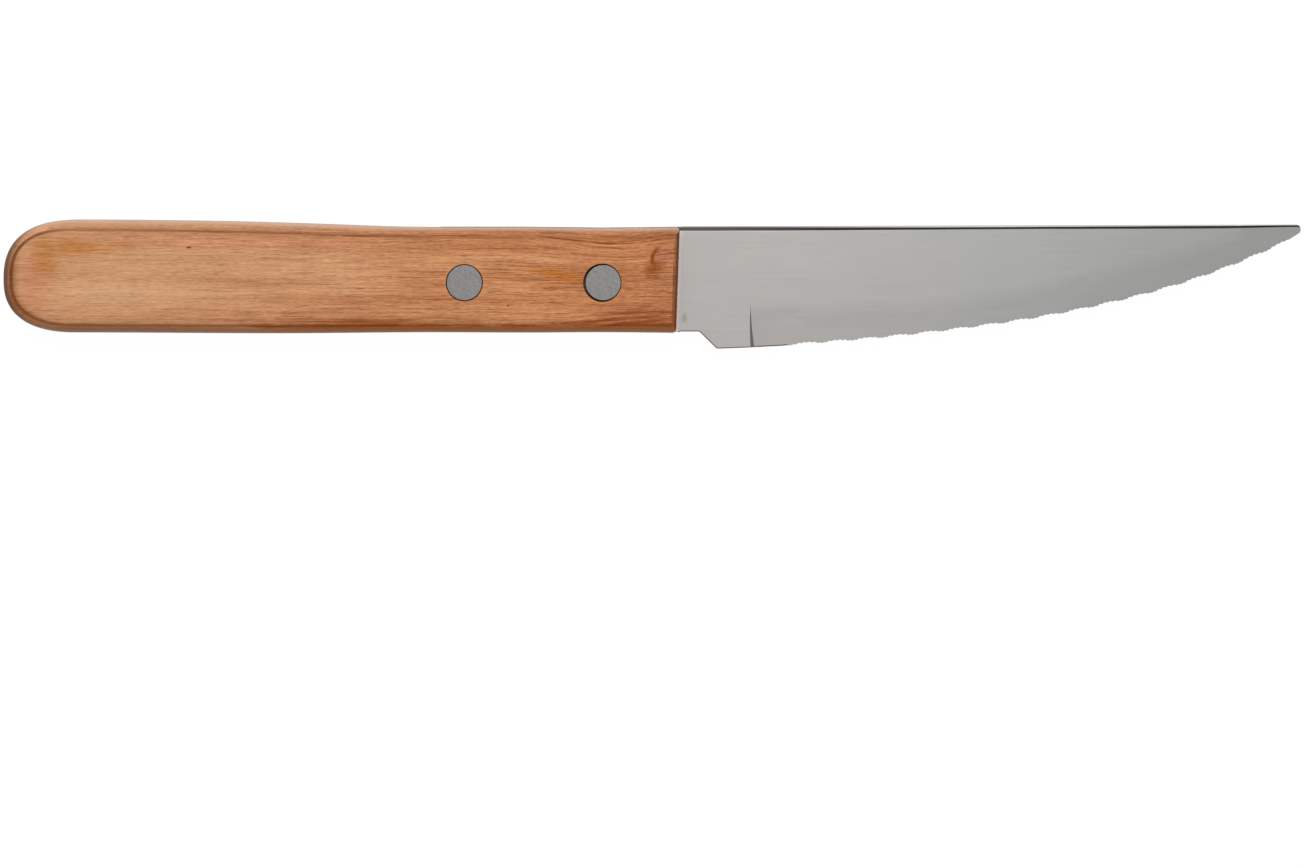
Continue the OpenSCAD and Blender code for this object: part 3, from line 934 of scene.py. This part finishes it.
def makeRivetMetal(look):
    material, start = newMaterial("sandedAluminium")
    point = millimetres(start)
    angle = math.radians(look["scratchAngle"])
    turned = start.make("ShaderNodeMapping", {}, {"Vector": point, "Rotation": (0, 0, angle)})
    scratch = turned.noise((0.9, 12.0, 2.0), 3, 0.7)
    cloth = point.noise((3.2, 3.2, 3.2), 4, 0.7)
    steep = 1 - abs(facingOf(start)[2]).above(0.5, 0.95)
    base = plain(start, look["face"])
    base = base.shaded(1.0 + (scratch - 0.5) * 1.6 + (cloth - 0.5) * 0.5)
    base = base.tinted(look["scratch"], scratch.above(0.55, 0.8) * 0.30)
    # painted shade on the rounded rim and walls of the head
    base = base.tinted(look["edge"], steep * 0.45)
    bump = start.make("ShaderNodeBump", {}, {"Strength": 0.2, "Distance": 0.02 * mm, "Height": scratch})
    shader = start.make("ShaderNodeBsdfPrincipled", {}, {
        "Base Color": base,
        "Metallic": 1.0,
        "Roughness": 0.42 + scratch * 0.12,
        "Normal": bump,
    })
    closeMaterial(start, shader)
    return material


# Studio: a white floor that keeps a faint shadow, an even white surround,
# one soft lamp from the spine's side, and a weak low one beside it. In metres and watts.

studio = {
    "floorSize": 6.0,
    "floorDrop": 0.02 * mm,  # below the knife, so that their faces don't meet
    "floorColour": (0.70, 0.70, 0.70, 1),
    "shadowKept": (0.05, 0.05, 0.05, 1),
    "white": (1, 1, 1, 1),
    "glow": 0.985,
    "surround": 0.27,
    "lampDistance": 1.0,
    "lampAzimuth": 88,
    "keyPower": 8.6,
    "keySize": 0.6,
    "keyElevation": 58,
    "rimPower": 0.8,
    "rimSize": 0.4,
    "rimElevation": 28,
}


def seenDirectly(start):
    # 1 for rays from the camera, in mirrors and through glass
    kinds = ("Is Camera Ray", "Is Glossy Ray", "Is Transmission Ray")
    rays = [start.make("ShaderNodeLightPath", out=kind) for kind in kinds]
    return (rays[0] + rays[1] + rays[2]).atMost(1.0)


def buildFloor(setup):
    bpy.ops.object.select_all(action="DESELECT")
    bpy.ops.mesh.primitive_plane_add(size=setup["floorSize"], location=(0, 0, -setup["floorDrop"]))
    floor = bpy.context.active_object
    floor.name = "floor"
    applyPlace()
    material, start = newMaterial("whiteFloor")
    lit = start.make("ShaderNodeBsdfDiffuse", {}, {"Color": setup["floorColour"]})
    faint = start.make("ShaderNodeBsdfDiffuse", {}, {"Color": setup["shadowKept"]})
    glow = start.make("ShaderNodeEmission", {}, {"Color": setup["white"], "Strength": setup["glow"]})
    white = start.make("ShaderNodeAddShader", {}, {0: faint, 1: glow})
    closeMaterial(start, start.make("ShaderNodeMixShader", {}, {0: seenDirectly(start), 1: lit, 2: white}))
    floor.data.materials.append(material)


def buildSurround(setup):
    world = bpy.data.worlds.new("studio")
    bpy.context.scene.world = world
    world.use_nodes = True
    world.node_tree.nodes.clear()
    start = Wire(world.node_tree)
    strength = seenDirectly(start) * (1 - setup["surround"]) + setup["surround"]
    light = start.make("ShaderNodeBackground", {}, {"Color": setup["white"], "Strength": strength})
    output = world.node_tree.nodes.new("ShaderNodeOutputWorld")
    world.node_tree.links.new(light.socket, output.inputs["Surface"])


def addLamp(name, setup):
    data = bpy.data.lights.new(name, "AREA")
    data.energy = setup[name + "Power"]
    data.shape = "DISK"
    data.size = setup[name + "Size"]
    lamp = bpy.data.objects.new(name, data)
    bpy.context.scene.collection.objects.link(lamp)
    a, e = math.radians(setup["lampAzimuth"]), math.radians(setup[name + "Elevation"])
    direction = Vector((math.cos(a) * math.cos(e), math.sin(a) * math.cos(e), math.sin(e)))
    lamp.location = direction * setup["lampDistance"]
    lamp.rotation_euler = (-lamp.location).to_track_quat("-Z", "Y").to_euler()
    lamp.visible_camera = False


# Camera: straight above the knife, leaning a little towards the spine.

cameraSetup = {
    "lens": 150,
    "sensor": 36,
    "millimetresPerPixel": 0.16220,
    "imageWidth": 1304,
    "imageHeight": 868,
    "middleRow": 283.97,  # the picture row of the knife's middle line
    "middleColumn": 653.14,
    "tilt": 1.2,  # towards the spine, in degrees
    "clipStart": 0.05,
    "clipEnd": 20,
}


def buildCamera(setup):
    data = bpy.data.cameras.new("camera")
    data.lens = setup["lens"]
    data.sensor_width = setup["sensor"]
    width = setup["imageWidth"] * setup["millimetresPerPixel"] * mm
    distance = width * setup["lens"] / setup["sensor"]
    data.shift_y = -(setup["imageHeight"] / 2 - setup["middleRow"]) / setup["imageWidth"]
    data.shift_x = -(setup["middleColumn"] - setup["imageWidth"] / 2) / setup["imageWidth"]
    data.clip_start = setup["clipStart"]
    data.clip_end = setup["clipEnd"]
    camera = bpy.data.objects.new("camera", data)
    bpy.context.scene.collection.objects.link(camera)
    tilt = math.radians(setup["tilt"])
    camera.location = (0, math.sin(tilt) * distance, middle * mm + math.cos(tilt) * distance)
    camera.rotation_euler = (-tilt, 0, 0)
    bpy.context.scene.camera = camera


# The knife put together.

def placePiece(piece, node, material):
    piece.data.materials.clear()
    piece.data.materials.append(material)
    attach(piece, "root")
    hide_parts(node)


placePiece(buildHandle(handleShape), "handle", makeWood(woodLook))
print("handle done")
placePiece(buildBlade(bladeShape), "blade", makeSteel(steelLook))
print("blade done")
rivetMetal = makeRivetMetal(rivetLook)
for side in ("rear", "front"):
    for half in ("pin", "sleeve"):
        node = side + "_rivet_" + half
        name = side + "Rivet" + half.capitalize()
        placePiece(buildRivetHalf(rivetShape, node, name, half == "sleeve"), node, rivetMetal)
print("rivets done")

buildFloor(studio)
buildSurround(studio)
for name in ("key", "rim"):
    addLamp(name, studio)
buildCamera(cameraSetup)
bpy.context.scene.view_settings.view_transform = "Standard"
print("studio done")
